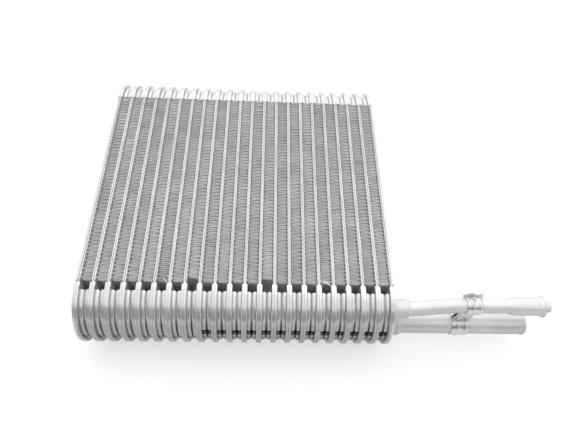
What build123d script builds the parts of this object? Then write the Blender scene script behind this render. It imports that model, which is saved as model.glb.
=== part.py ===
from build123d import *
from math import acos, asin, ceil, cos, pi, sin
import os

# Evaporator core of brazed drawn-cup plates, lying flat.
# X runs across the stack of tubes and along the pipes, Y along the tubes, Z through the depth.
# All sizes are in millimetres. The underside lies at Z = 0.

# The stack of tubes and fins
fin_columns = 21
tube_pitch = 12.25
fin_length = 199.0
core_depth = 71.0
tube_thickness = 3.1
rim_thickness = 4.7
end_plate_thickness = 2.0

# The tanks, pressed into both ends of every tube plate. Shares are of half the core's depth
neck_length = 3.0
cup_step = 2.5
cup_start = 6.6
merged_columns = 8
split_share = 0.252
split_gap = 4.7
rim_facets = 10
cup_facet_angle = pi / 8

# The folded fins
fin_folds = 10
fin_sheet = 0.7
fin_inset = 0.6
braze_gap = 0.05

# The liquid pipe, with its widened and flared mouth
liquid_od = 12.7
liquid_wall = 1.2
liquid_out_share = 0.45
liquid_up_share = 0.62
liquid_shift = 3.6
bend_start = 18.0
bend_end = 60.0
liquid_mouth_step = 1.65
liquid_mouth_start = 100.4
liquid_mouth_slope = 3.5
liquid_mouth_end = 132.0
flare_step = 1.5
flare_length = 3.5

# The suction pipe, with a rolled rim at its open mouth
suction_od = 19.05
suction_wall = 1.2
suction_out_share = 0.46
suction_up_share = -0.34
suction_end = 129.0
suction_rim_step = 0.6
suction_rim_length = 2.4

# The ferrules round the pipes at the end plate
ferrule_length = 13.6
liquid_ferrule_wall = 1.75
suction_ferrule_wall = 2.0
ferrule_gap = 0.1

# The clip that ties both pipes together
clip_start = 62.6
clip_width = 15.0
clip_loop_sides = 16
clip_sheet = 1.0
clip_gap = 0.15
clip_tab_length = 3.5
clip_tab_angle = 40.0

# The plug in the liquid mouth
plug_depth = 14.0
plug_nose_length = 6.5
plug_gap = 0.15

# Derived sizes
rim_radius = core_depth / 2
cup_radius = rim_radius - cup_step
core_middle = core_depth / 2
split_height = split_share * rim_radius
tube_count = fin_columns + 1
stack_half = fin_columns * tube_pitch / 2
left_face = -stack_half - end_plate_thickness
right_tip = stack_half + liquid_mouth_end + plug_nose_length
stack_shift = -(left_face + right_tip) / 2
right_plate_face = stack_half + end_plate_thickness + stack_shift
liquid_out = liquid_out_share * rim_radius
liquid_up = liquid_up_share * rim_radius
suction_out = suction_out_share * rim_radius
suction_up = suction_up_share * rim_radius
liquid_mouth_od = liquid_od + 2 * liquid_mouth_step
near, far = -1, 1


def tube_x(number):
    """The middle of a tube, counted from 1 at the left."""
    return stack_shift - stack_half + (number - 1) * tube_pitch


def plate_outline(points, side, start_x, thickness):
    """A plate of the given thickness, its outline measured out from the fins and up from mid depth."""
    placed = [(side * (fin_length / 2 + out), core_middle + up) for out, up in points]
    face = Plane.YZ * Polygon(*placed, align=None)
    return Pos(start_x, 0, 0) * extrude(face, amount=thickness, dir=(1, 0, 0))


def arc_points(radius, high, low, facets):
    """Points along the round front of a tank, from one angle to another."""
    angles = [high + (low - high) * step / facets for step in range(facets + 1)]
    return [(neck_length + radius * cos(angle), radius * sin(angle)) for angle in angles]


def rim_outline():
    """The D-shaped rim that closes a tube plate beyond the fins."""
    front = arc_points(rim_radius, pi / 2, -pi / 2, rim_facets)
    return [(0, rim_radius)] + front + [(0, -rim_radius)]


def cup_outline(low, high):
    """The D-shaped cup inside the rim, or the stretch of it between two heights."""
    widest = acos((cup_start - neck_length) / cup_radius)
    top = min(widest, asin(min(high / cup_radius, 1)))
    bottom = max(-widest, asin(max(low / cup_radius, -1)))
    points = arc_points(cup_radius, top, bottom, ceil((top - bottom) / cup_facet_angle))
    if top < widest:
        points.insert(0, (cup_start, high))
    if bottom > -widest:
        points.append((cup_start, low))
    return points


def column_cups(column):
    """One cup over the whole depth in the first columns, two cups in the others."""
    if column <= merged_columns:
        return [cup_outline(-cup_radius, cup_radius)]
    lower = cup_outline(-cup_radius, split_height - split_gap / 2)
    upper = cup_outline(split_height + split_gap / 2, cup_radius)
    return [lower, upper]


def tube_solid(number):
    """A pair of plates brazed into a flat tube, with a rim and cups at both ends.

    The outermost tubes are single plates, closed by an end plate."""
    middle = tube_x(number)
    left_share = 0 if number == 1 else 1
    right_share = 0 if number == tube_count else 1
    flat_start = middle - left_share * tube_thickness / 2
    flat_width = (left_share + right_share) * tube_thickness / 2
    rim_start = middle - left_share * rim_thickness / 2
    rim_width = (left_share + right_share) * rim_thickness / 2
    cup_height = (tube_pitch - rim_thickness) / 2
    flat = Box(flat_width, fin_length, core_depth, align=(Align.MIN, Align.CENTER, Align.MIN))
    tube = Pos(flat_start, 0, 0) * flat
    for side in (near, far):
        tube += plate_outline(rim_outline(), side, rim_start, rim_width)
        if left_share:
            for cup in column_cups(number - 1):
                tube += plate_outline(cup, side, rim_start - cup_height, cup_height)
        if right_share:
            for cup in column_cups(number):
                tube += plate_outline(cup, side, rim_start + rim_width, cup_height)
    return tube


def end_plate(start_x):
    """A flat plate with the outline of a tube."""
    plate = Box(end_plate_thickness, fin_length, core_depth, align=(Align.MIN, Align.CENTER, Align.MIN))
    plate = Pos(start_x, 0, 0) * plate
    for side in (near, far):
        plate += plate_outline(rim_outline(), side, start_x, end_plate_thickness)
    return plate


def fin_solid(column):
    """A strip folded to and fro between two tubes."""
    middle = tube_x(column) + tube_pitch / 2
    reach = (tube_pitch - tube_thickness) / 2 - braze_gap - fin_sheet / 2
    turns = 2 * fin_folds
    step = (fin_length - 2 * braze_gap) / turns
    first = -fin_length / 2 + braze_gap
    path = [(middle + (reach if turn % 2 else -reach), first + turn * step) for turn in range(turns + 1)]
    left = [(x - fin_sheet / 2, y) for x, y in path]
    right = [(x + fin_sheet / 2, y) for x, y in reversed(path)]
    strip = extrude(Polygon(*left, *right, align=None), amount=core_depth - 2 * fin_inset, dir=(0, 0, 1))
    return Pos(0, 0, fin_inset) * strip


def pipe_place(out, up):
    """The height and place across the core of a pipe's centre line."""
    return -(fin_length / 2 + out), core_middle + up


def ring(length, outer_diameter, inner_diameter):
    """A plain sleeve along +X from the origin."""
    sleeve = Cylinder(outer_diameter / 2, length, align=(Align.CENTER, Align.CENTER, Align.MIN))
    sleeve -= Cylinder(inner_diameter / 2, length, align=(Align.CENTER, Align.CENTER, Align.MIN))
    return Rot(0, 90, 0) * sleeve


def turned(profile):
    """A turned piece along +X from its profile of distances along and radii."""
    face = Plane.XZ * Polygon(*profile, align=None)
    return revolve(face, axis=Axis.X)


def liquid_pipe():
    """The thinner pipe: a slight double bend, then a widened mouth with a flare."""
    y, z = pipe_place(liquid_out, liquid_up)
    far_y = y + liquid_shift
    base = stack_half + stack_shift
    corners = [(right_plate_face, y, z), (base + bend_start, y, z), (base + bend_end, far_y, z),
               (base + liquid_mouth_start, far_y, z)]
    path = Polyline(*corners)
    start = Plane(origin=corners[0], x_dir=(0, 1, 0), z_dir=(1, 0, 0))
    inner = liquid_od / 2 - liquid_wall
    section = start * (Circle(liquid_od / 2) - Circle(inner))
    pipe = sweep(section, path=path, transition=Transition.RIGHT)
    mouth_length = liquid_mouth_end - liquid_mouth_start
    wide = liquid_mouth_od / 2
    bore = wide - liquid_wall
    flare_start = mouth_length - flare_length
    flare = wide + flare_step
    mouth = turned([(0, inner), (0, liquid_od / 2), (liquid_mouth_slope, wide), (flare_start, wide),
                    (flare_start, flare), (mouth_length, flare), (mouth_length, bore),
                    (liquid_mouth_slope, bore), (liquid_mouth_slope, inner)])
    return pipe + Pos(*corners[-1]) * mouth


def suction_pipe():
    """The thicker pipe: straight, open, with a rolled rim at the mouth."""
    y, z = pipe_place(suction_out, suction_up)
    length = suction_end - end_plate_thickness
    bore = suction_od - 2 * suction_wall
    pipe = ring(length, suction_od, bore)
    rim = ring(suction_rim_length, suction_od + 2 * suction_rim_step, bore)
    pipe += Pos(length - suction_rim_length, 0, 0) * rim
    return Pos(right_plate_face, y, z) * pipe


def ferrule(out, up, pipe_diameter, wall):
    """The sleeve brazed round a pipe where it meets the end plate."""
    y, z = pipe_place(out, up)
    hole = pipe_diameter + 2 * ferrule_gap
    return Pos(right_plate_face, y, z) * ring(ferrule_length, hole + 2 * wall, hole)


def clip_loop(place, pipe_diameter):
    """The outline of one loop of the clip round a pipe, and of the hole in it."""
    inner = pipe_diameter / 2 + clip_gap
    hole = RegularPolygon(inner, clip_loop_sides, major_radius=False)
    band = RegularPolygon(inner + clip_sheet, clip_loop_sides, major_radius=False)
    return Pos(*place) * band, Pos(*place) * hole


def pipe_clip():
    """A folded strap: a loop round each pipe, a double web between them and a tab at the top."""
    y, z = pipe_place(liquid_out, liquid_up)
    upper = (y + liquid_shift, z)
    lower = pipe_place(suction_out, suction_up)
    upper_band, upper_hole = clip_loop(upper, liquid_od)
    lower_band, lower_hole = clip_loop(lower, suction_od)
    lean = Vector(upper[0] - lower[0], upper[1] - lower[1])
    web = Rectangle(lean.length, 2 * clip_sheet, align=(Align.MIN, Align.CENTER))
    web = Pos(*lower) * Rot(0, 0, lean.get_signed_angle(Vector(1, 0))) * web
    reach = liquid_od / 2 + clip_gap + clip_sheet + clip_tab_length
    tab = Rectangle(reach, clip_sheet, align=(Align.MIN, Align.CENTER))
    tab = Pos(*upper) * Rot(0, 0, clip_tab_angle) * tab
    outline = upper_band + lower_band + web + tab - upper_hole - lower_hole
    strap = extrude(Plane.YZ * outline, amount=clip_width, dir=(1, 0, 0))
    return Pos(stack_half + stack_shift + clip_start, 0, 0) * strap


def port_plug():
    """The plug pushed into the liquid pipe's mouth, its nose standing out."""
    y, z = pipe_place(liquid_out, liquid_up)
    radius = liquid_mouth_od / 2 - liquid_wall - plug_gap
    length = plug_depth + plug_nose_length
    plug = Rot(0, 90, 0) * Cylinder(radius, length, align=(Align.CENTER, Align.CENTER, Align.MIN))
    start = stack_half + stack_shift + liquid_mouth_end - plug_depth
    return Pos(start, y + liquid_shift, z) * plug


def save(shape, node):
    export_step(shape, f"parts/{node}.step")


os.makedirs("parts", exist_ok=True)
for number in range(1, tube_count + 1):
    save(tube_solid(number), f"tube_{number:02d}")
for column in range(1, fin_columns + 1):
    save(fin_solid(column), f"fin_{column:02d}")
save(end_plate(tube_x(1) - end_plate_thickness), "end_plate_left")
save(end_plate(tube_x(tube_count)), "end_plate_right")
save(liquid_pipe(), "liquid_pipe")
save(suction_pipe(), "suction_pipe")
save(ferrule(liquid_out, liquid_up, liquid_od, liquid_ferrule_wall), "liquid_pipe_ferrule")
save(ferrule(suction_out, suction_up, suction_od, suction_ferrule_wall), "suction_pipe_ferrule")
save(pipe_clip(), "pipe_clip")
save(port_plug(), "liquid_port_plug")
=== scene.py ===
# %% [markdown]
# # An evaporator core in brazed aluminium
#
# The object is a flat stack of tubes and folded fins. Every tube is two drawn plates, and the cups at
# their ends meet their neighbours' cups, so that together they form a tank at each end. Two pipes leave
# the right end plate and a sheet clip ties them together.
#
# The frame holds a plain CAD piece for each part of it. Every new piece below is fitted to its CAD piece
# and takes its place. All sizes are in millimetres until they are turned into metres for Blender.

# %% The fixed frame
from math import acos, asin, atan2, cos, exp, pi, radians, sin

import bmesh
import bpy
from mathutils import Matrix, Vector


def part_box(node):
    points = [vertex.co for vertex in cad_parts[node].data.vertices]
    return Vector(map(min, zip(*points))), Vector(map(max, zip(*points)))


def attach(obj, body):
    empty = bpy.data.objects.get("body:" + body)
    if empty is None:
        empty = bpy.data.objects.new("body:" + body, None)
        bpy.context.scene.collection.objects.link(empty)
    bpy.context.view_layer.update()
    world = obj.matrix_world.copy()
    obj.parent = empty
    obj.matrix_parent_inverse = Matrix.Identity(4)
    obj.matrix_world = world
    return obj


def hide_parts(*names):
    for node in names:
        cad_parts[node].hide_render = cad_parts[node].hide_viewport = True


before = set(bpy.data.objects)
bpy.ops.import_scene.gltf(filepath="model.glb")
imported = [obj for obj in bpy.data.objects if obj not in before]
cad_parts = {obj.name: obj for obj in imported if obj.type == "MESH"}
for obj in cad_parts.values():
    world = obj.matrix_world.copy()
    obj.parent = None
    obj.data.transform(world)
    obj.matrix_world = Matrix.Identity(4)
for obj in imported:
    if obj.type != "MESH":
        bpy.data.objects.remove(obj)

MM = 0.001
scene = bpy.context.scene
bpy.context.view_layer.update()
print("nodes in the frame:", len(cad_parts))

# %% [markdown]
# ## The camera
#
# The photograph looks down at the core at a steep angle, with a wide lens. The place and the turn were
# solved from the rows of tube ends, the outlines of the tanks and the corners of the fins. The camera
# could be aimed with a constraint, but three plain directions say more clearly how it is held.

# %% Camera
camera_place = Vector((-47.69, -255.22, 444.0)) * MM
camera_down = radians(59.422)
camera_turn = radians(5.675)
camera_roll = radians(6.220)
ahead = Vector((sin(camera_turn) * cos(camera_down), cos(camera_turn) * cos(camera_down),
                -sin(camera_down)))
level = Vector((cos(camera_turn), -sin(camera_turn), 0))
upward = level.cross(ahead)
across = level * cos(camera_roll) + upward * sin(camera_roll)
above = upward * cos(camera_roll) - level * sin(camera_roll)
lens = bpy.data.cameras.new("camera")
lens.sensor_width = 36
lens.lens = 30.297
lens.clip_start = 0.01
camera = bpy.data.objects.new("camera", lens)
held = Matrix((across, above, -ahead)).transposed().to_4x4()
camera.matrix_world = Matrix.Translation(camera_place) @ held
scene.collection.objects.link(camera)
scene.camera = camera
scene.view_settings.view_transform = "Standard"
print("camera at", [round(value, 3) for value in camera_place])

# %% [markdown]
# ## Helpers for node trees
#
# The sky, the metals and the Geometry Nodes are all trees of small nodes. Each helper here adds one node
# and links what it is given, so that a tree can be written like a sum. They work in every kind of tree.

# %% Node helpers


def feed(tree, socket, value):
    """Gives a socket a link or a plain value."""
    if isinstance(value, bpy.types.NodeSocket):
        tree.links.new(value, socket)
    elif value is not None:
        socket.default_value = value


def calc(tree, operation, first, second=None):
    """One sum on numbers."""
    node = tree.nodes.new("ShaderNodeMath")
    node.operation = operation
    feed(tree, node.inputs[0], first)
    feed(tree, node.inputs[1], second)
    return node.outputs[0]


def plus(tree, first, second):
    """Adds two numbers."""
    return calc(tree, "ADD", first, second)


def minus(tree, first, second):
    """Takes the second number from the first."""
    return calc(tree, "SUBTRACT", first, second)


def times(tree, first, second):
    """Multiplies two numbers."""
    return calc(tree, "MULTIPLY", first, second)


def vector(tree, x=0.0, y=0.0, z=0.0):
    """A vector from three numbers."""
    node = tree.nodes.new("ShaderNodeCombineXYZ")
    for socket, value in zip(node.inputs, (x, y, z)):
        feed(tree, socket, value)
    return node.outputs[0]


def split(tree, whole):
    """The three numbers of a vector, by the names X, Y and Z."""
    node = tree.nodes.new("ShaderNodeSeparateXYZ")
    feed(tree, node.inputs[0], whole)
    return node.outputs


def vector_calc(tree, operation, first, second=None, scale=None):
    """One sum on vectors. A dot product and a length give a number."""
    node = tree.nodes.new("ShaderNodeVectorMath")
    node.operation = operation
    feed(tree, node.inputs[0], first)
    feed(tree, node.inputs[1], second)
    if scale is not None:
        feed(tree, node.inputs["Scale"], scale)
    return node.outputs["Value" if operation in ("DOT_PRODUCT", "LENGTH") else "Vector"]


def step(tree, value, start, stop, low=0.0, high=1.0, kind="SMOOTHSTEP"):
    """Goes from low to high while a value goes from start to stop."""
    node = tree.nodes.new("ShaderNodeMapRange")
    node.interpolation_type = kind
    ends = {"Value": value, "From Min": start, "From Max": stop, "To Min": low, "To Max": high}
    for label, number in ends.items():
        feed(tree, node.inputs[label], number)
    return node.outputs["Result"]


def noise(tree, place, scale, detail):
    """Soft random patches, between 0 and 1."""
    node = tree.nodes.new("ShaderNodeTexNoise")
    node.inputs["Scale"].default_value = scale
    node.inputs["Detail"].default_value = detail
    feed(tree, node.inputs["Vector"], place)
    return node.outputs["Fac"]


def blend(tree, share, first, second):
    """Mixes two colours by a share."""
    node = tree.nodes.new("ShaderNodeMix")
    node.data_type = "RGBA"
    feed(tree, node.inputs["Factor"], share)
    feed(tree, node.inputs["A"], first)
    feed(tree, node.inputs["B"], second)
    return node.outputs["Result"]


print("node helpers ready")

# %% [markdown]
# ## Light
#
# The photograph is a bright shot on white paper. The light comes from above and from behind the core,
# and the side towards the camera is dim, which is why the tanks are near white on their shoulders and
# grey on their fronts. Lamps alone would leave hard edges in the metal, so the sky does most of it: the
# half of it that lies high and behind is bright, the other half is dim, with a soft step between them,
# and a glow low behind the core stands for the lit paper there.

# %% Sky
bright_way = Vector((0.15, 0.63, 0.76)).normalized()
behind_way = (0, 1, 0)
sky = bpy.data.worlds.new("sky")
scene.world = sky
sky.use_nodes = True
tree = sky.node_tree
tree.nodes.clear()
ray = tree.nodes.new("ShaderNodeTexCoord").outputs["Generated"]
overhead = step(tree, vector_calc(tree, "DOT_PRODUCT", ray, bright_way), 0.08, 0.18, 0.12, 1.2)
behind = step(tree, vector_calc(tree, "DOT_PRODUCT", ray, behind_way), 0.5, 0.95, 0.0, 0.55)
lit = tree.nodes.new("ShaderNodeBackground")
lit.inputs["Color"].default_value = (0.985, 0.99, 1.0, 1)
feed(tree, lit.inputs["Strength"], plus(tree, overhead, behind))
sky_end = tree.nodes.new("ShaderNodeOutputWorld")
feed(tree, sky_end.inputs["Surface"], lit.outputs[0])
print("the sky is brightest towards", [round(part, 2) for part in bright_way])

# %% [markdown]
# One long, weak lamp hangs over the core. It gives the pipes and the rims a crisper highlight than the
# sky can, and the floor a soft shadow.

# %% Soft lamp
lamp_place = Vector((0.12, 0.24, 1.1))
lamp_target = Vector((-0.05, 0.05, 0.05))
lamp = bpy.data.lights.new("soft_light", "AREA")
lamp.shape = "RECTANGLE"
lamp.size = 1.3
lamp.size_y = 0.5
lamp.energy = 2.4
holder = bpy.data.objects.new("soft_light", lamp)
holder.location = lamp_place
holder.rotation_euler = (lamp_target - lamp_place).to_track_quat("-Z", "Y").to_euler()
scene.collection.objects.link(holder)
print("lamp power:", lamp.energy, "W")

# %% [markdown]
# ## Floor
#
# The floor is a round sheet of white paper with a low wall far away, so that every side view ends in
# white too. A plain diffuse sheet would throw so much light up that the metal went flat. So a ray from
# the camera or from a gloss sees the paper with a little light of its own, and all other rays meet a
# darker felt.

# %% Paper


def any_view_ray(tree):
    """Is 1 where a ray comes from the camera, from a gloss or through glass, and 0 elsewhere."""
    rays = tree.nodes.new("ShaderNodeLightPath")
    total = rays.outputs["Is Camera Ray"]
    for label in ("Is Glossy Ray", "Is Transmission Ray"):
        total = calc(tree, "MAXIMUM", total, rays.outputs[label])
    return total


def paper(name, own_light):
    """White paper that adds a little light of its own."""
    material = bpy.data.materials.new(name)
    material.use_nodes = True
    tree = material.node_tree
    seen = tree.nodes["Principled BSDF"]
    seen.inputs["Base Color"].default_value = (0.5, 0.5, 0.5, 1)
    seen.inputs["Roughness"].default_value = 0.9
    seen.inputs["Specular IOR Level"].default_value = 0.0
    seen.inputs["Emission Color"].default_value = (1, 1, 1, 1)
    seen.inputs["Emission Strength"].default_value = own_light
    felt = tree.nodes.new("ShaderNodeBsdfDiffuse")
    felt.inputs["Color"].default_value = (0.3, 0.3, 0.3, 1)
    either = tree.nodes.new("ShaderNodeMixShader")
    feed(tree, either.inputs["Fac"], any_view_ray(tree))
    feed(tree, either.inputs[1], felt.outputs[0])
    feed(tree, either.inputs[2], seen.outputs[0])
    feed(tree, tree.nodes["Material Output"].inputs["Surface"], either.outputs[0])
    return material


floor_paper = paper("white_paper", 0.55)
wall_paper = paper("wall_paper", 0.9)
print("papers:", floor_paper.name, wall_paper.name)

# %% [markdown]
# The sheet is one flat face with many corners, and one upright face for each of its sides.

# %% Floor
floor_reach = 15.0
wall_height = 2.9
floor_sides = 48
floor_turns = [2 * pi * side / floor_sides for side in range(floor_sides)]
corners = [(floor_reach * cos(turn), floor_reach * sin(turn), 0) for turn in floor_turns]
corners += [(x, y, wall_height) for x, y, z in corners]
faces = [list(range(floor_sides))]
for side in range(floor_sides):
    after = (side + 1) % floor_sides
    faces.append((side, side + floor_sides, after + floor_sides, after))
floor_mesh = bpy.data.meshes.new("floor")
floor_mesh.from_pydata(corners, [], faces)
floor_mesh.materials.append(floor_paper)
floor_mesh.materials.append(wall_paper)
for face in floor_mesh.polygons[1:]:
    face.material_index = 1
floor = bpy.data.objects.new("floor", floor_mesh)
floor.location.z = -0.0002
scene.collection.objects.link(floor)
print("floor faces:", len(floor_mesh.polygons))

# %% [markdown]
# ## Metals
#
# All the aluminium here has the same history: rolled or drawn, brazed in an oven, and handled. One recipe
# serves it: a grey that drifts a little in soft patches, rare stains, and fine grain in the gloss and the
# relief, stretched along the way the metal was drawn. Each piece gets its own brightness and grain. The
# patterns read Object coordinates, so that they stay on the piece from every side.

# %% Metal recipe


def metal(name, colour, roughness, metallic, patch, grain, stretch=(1, 1, 1), bump=0.15,
          stain=(0.45, 0.44, 0.42), stain_share=0.35):
    """Aluminium with soft patches of tone, grain and a few stains."""
    material = bpy.data.materials.new(name)
    material.use_nodes = True
    tree = material.node_tree
    shader = tree.nodes["Principled BSDF"]
    place = tree.nodes.new("ShaderNodeTexCoord").outputs["Object"]
    drawn = tree.nodes.new("ShaderNodeMapping")
    drawn.inputs["Scale"].default_value = stretch
    feed(tree, drawn.inputs["Vector"], place)
    fine = noise(tree, drawn.outputs["Vector"], grain, 3)
    tone = tree.nodes.new("ShaderNodeValToRGB")
    tone.color_ramp.elements[0].position = 0.3
    tone.color_ramp.elements[0].color = tuple(value * 0.88 for value in colour) + (1,)
    tone.color_ramp.elements[1].position = 0.7
    tone.color_ramp.elements[1].color = tuple(colour) + (1,)
    feed(tree, tone.inputs["Fac"], noise(tree, place, patch, 4))
    rare = step(tree, noise(tree, place, patch * 4, 6), 0.66, 0.74, 0.0, stain_share, "LINEAR")
    stained = blend(tree, rare, tone.outputs["Color"], tuple(stain) + (1,))
    feed(tree, shader.inputs["Base Color"], stained)
    gloss = step(tree, fine, 0.0, 1.0, roughness - 0.08, roughness + 0.10, "LINEAR")
    feed(tree, shader.inputs["Roughness"], gloss)
    relief = tree.nodes.new("ShaderNodeBump")
    relief.inputs["Strength"].default_value = bump
    relief.inputs["Distance"].default_value = 0.0002
    feed(tree, relief.inputs["Height"], fine)
    feed(tree, shader.inputs["Normal"], relief.outputs["Normal"])
    shader.inputs["Metallic"].default_value = metallic
    return material


print("metal recipe ready")

# %% [markdown]
# The plates have the smoothest gloss, with a grain that runs along the tubes, and the fins are the
# brightest. Pipes and ferrules wear a dull skin with little of a mirror left in it, which a low metallic
# value gives. The clip is cut from hard sheet and keeps most of its mirror.

# %% The metals
plate_metal = metal("plate_metal", (0.75, 0.75, 0.755), 0.24, 0.6, 35, 380, (1, 0.25, 1), 0.015,
                    stain_share=0.12)
end_metal = metal("end_metal", (0.74, 0.74, 0.745), 0.30, 0.6, 25, 380, (1, 0.25, 1), 0.015,
                  stain_share=0.15)
fin_metal = metal("fin_metal", (0.84, 0.835, 0.845), 0.36, 0.4, 60, 700, (1, 1, 0.3), 0.02)
pipe_metal = metal("pipe_metal", (0.80, 0.80, 0.785), 0.38, 0.25, 30, 500, (0.1, 1, 1), 0.02)
wide_pipe_metal = metal("wide_pipe_metal", (0.81, 0.80, 0.79), 0.38, 0.25, 30, 500, (0.1, 1, 1), 0.02)
ferrule_metal = metal("ferrule_metal", (0.75, 0.75, 0.74), 0.46, 0.25, 80, 600, bump=0.04)
clip_metal = metal("clip_metal", (0.68, 0.68, 0.68), 0.30, 0.8, 60, 300, bump=0.012)
print("metals made")

# %% [markdown]
# The plug is no metal, but a pale moulding with the same drifting tone, a coarser grain and no shine.

# %% Plug plastic
plug_plastic = metal("plug_plastic", (0.80, 0.80, 0.77), 0.55, 0.0, 90, 1600, bump=0.2,
                     stain=(0.6, 0.58, 0.52))
print("materials:", len(bpy.data.materials))

# %% [markdown]
# ## Painted shade on the tanks
#
# The colour of the tanks is darkened where shade falls: in the hollows between the rims, on the flanks of
# the rims, in the slots between the split cups, and on the front of the near tank, which faces the dim
# side. This shade is painted into the colour. Painting it by hand would need an image. Here it follows
# from the place alone, because a tank is round: the distance from its middle line tells a hollow from a
# rim, and the height tells the front from the top.

# %% Painted shade
# Painted shade: the colours that the shaded places of the tanks are darkened towards.
shade_tone = (0.17, 0.165, 0.16, 1)
deep_shade_tone = (0.12, 0.118, 0.116, 1)


def add_painted_shade(material, middle_out, middle_up, rim):
    """Paints shade into a plate metal round both tanks. The tank's middle line and rim radius are in
    millimetres.
    """
    tree = material.node_tree
    shader = tree.nodes["Principled BSDF"]
    clean = shader.inputs["Base Color"].links[0].from_socket
    parts = split(tree, tree.nodes.new("ShaderNodeTexCoord").outputs["Object"])
    out = minus(tree, calc(tree, "ABSOLUTE", parts["Y"]), middle_out * MM)
    up = minus(tree, parts["Z"], middle_up * MM)
    reach = calc(tree, "SQRT", plus(tree, times(tree, out, out), times(tree, up, up)))
    height = calc(tree, "DIVIDE", up, reach)

    def below(start, stop):
        """Grows from 0 to 1 while the surface turns down from one angle to another."""
        return step(tree, height, sin(radians(start)), sin(radians(stop)))

    def between(start, stop):
        """Grows from 0 to 1 between two depths under the rim's crest."""
        return step(tree, reach, (rim - start) * MM, (rim - stop) * MM)

    # Painted shade in the hollows between the rims and on the flanks of the rims.
    hollow = times(tree, between(0.9, 1.9), below(15, 3))
    flank = times(tree, between(0.1, 0.5), between(2.55, 2.2))
    # Painted shade on the front of the near tank, which faces the dim side.
    near = step(tree, parts["Y"], 0.0, -0.05)
    front_shade = times(tree, times(tree, below(56, 30), near), 0.56)
    shade_share = calc(tree, "MAXIMUM", hollow, times(tree, flank, 0.5))
    shade_share = calc(tree, "MAXIMUM", shade_share, front_shade)
    outside = step(tree, out, 0.0, 4 * MM)
    shaded_colour = blend(tree, times(tree, shade_share, outside), clean, shade_tone)
    # Painted deep shade in the slots between the split cups.
    slot = times(tree, between(3.0, 4.0), below(34, 26))
    deep_shaded_colour = blend(tree, times(tree, slot, outside), shaded_colour, deep_shade_tone)
    feed(tree, shader.inputs["Base Color"], deep_shaded_colour)


# The painted shade of both tanks goes into the plate metal.
add_painted_shade(plate_metal, middle_out=102.5, middle_up=35.5, rim=35.5)
print("nodes in the plate metal:", len(plate_metal.node_tree.nodes))

# %% [markdown]
# ## Ways to make a solid
#
# Shapes that repeat come from Geometry Nodes: a tree holds the rule, and its named inputs hold the sizes
# that change from one run to the next. Every tree ends in the same way, so these ends are helpers too.

# %% Tree helpers


def new_tree(name, sockets):
    """An empty tree with geometry in and out and named inputs."""
    tree = bpy.data.node_groups.new(name, "GeometryNodeTree")
    tree.interface.new_socket(name="Geometry", in_out="INPUT", socket_type="NodeSocketGeometry")
    for label, kind in sockets.items():
        tree.interface.new_socket(name=label, in_out="INPUT", socket_type="NodeSocket" + kind)
    tree.interface.new_socket(name="Geometry", in_out="OUTPUT", socket_type="NodeSocketGeometry")
    return tree, tree.nodes.new("NodeGroupInput").outputs, tree.nodes.new("NodeGroupOutput").inputs[0]


def move(tree, geometry, selection=None, position=None, offset=None):
    """Moves points to a place or by an amount."""
    node = tree.nodes.new("GeometryNodeSetPosition")
    feed(tree, node.inputs["Geometry"], geometry)
    feed(tree, node.inputs["Selection"], selection)
    feed(tree, node.inputs["Position"], position)
    feed(tree, node.inputs["Offset"], offset)
    return node.outputs[0]


def join(tree, *geometries):
    """Puts geometries together."""
    node = tree.nodes.new("GeometryNodeJoinGeometry")
    for geometry in geometries:
        feed(tree, node.inputs[0], geometry)
    return node.outputs[0]


def close_tree(tree, geometry, material, end):
    """Ends a tree with real geometry and its material."""
    real = tree.nodes.new("GeometryNodeRealizeInstances")
    feed(tree, real.inputs["Geometry"], geometry)
    paint = tree.nodes.new("GeometryNodeSetMaterial")
    feed(tree, paint.inputs["Geometry"], real.outputs[0])
    feed(tree, paint.inputs["Material"], material)
    feed(tree, end, paint.outputs[0])


print("tree helpers ready")

# %% [markdown]
# The tree runs on a small seed mesh, as a modifier. What it gives is turned into a plain mesh and the
# modifier goes away. Meshes that belong together are then joined into one piece, which rides on the
# part's only body, takes the place of its CAD nodes and gets a material slot.

# %% From a tree to a piece


def run_tree(tree, seed, settings, name):
    """Runs a tree on a seed mesh and gives back a plain mesh."""
    worker = bpy.data.objects.new("worker", seed)
    scene.collection.objects.link(worker)
    modifier = worker.modifiers.new("shape", "NODES")
    modifier.node_group = tree
    for item in tree.interface.items_tree:
        if item.item_type == "SOCKET" and item.in_out == "INPUT" and item.name in settings:
            modifier[item.identifier] = settings[item.name]
    graph = bpy.context.evaluated_depsgraph_get()
    result = bpy.data.meshes.new_from_object(worker.evaluated_get(graph))
    result.name = name
    worker.modifiers.clear()
    bpy.data.objects.remove(worker)
    return result


def finish_piece(name, meshes, material, nodes, smooth=28):
    """Joins meshes into one piece that stands for CAD nodes."""
    joined = bmesh.new()
    for mesh in meshes:
        joined.from_mesh(mesh)
    whole = bpy.data.meshes.new(name)
    joined.to_mesh(whole)
    joined.free()
    whole.materials.clear()
    whole.materials.append(material)
    whole.polygons.foreach_set("material_index", [0] * len(whole.polygons))
    whole.polygons.foreach_set("use_smooth", [True] * len(whole.polygons))
    whole.set_sharp_from_angle(angle=radians(smooth))
    piece = bpy.data.objects.new(name, whole)
    scene.collection.objects.link(piece)
    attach(piece, "root")
    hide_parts(*nodes)
    return piece


print("piece helpers ready")

# %% [markdown]
# Most pieces here are plates with a shaped edge: bars, rims, cups and end plates. Such a plate is an
# outline that is carried through the thickness in steps, and each step says how far in from the outline
# the edge lies, and how far along the stack. Lofting it by hand would take one ring of points after
# another. A tree does it once for every plate: it pushes the outline's face out again and again, and
# pulls each new face in along an attribute that points inwards.

# %% The plate tree


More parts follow.
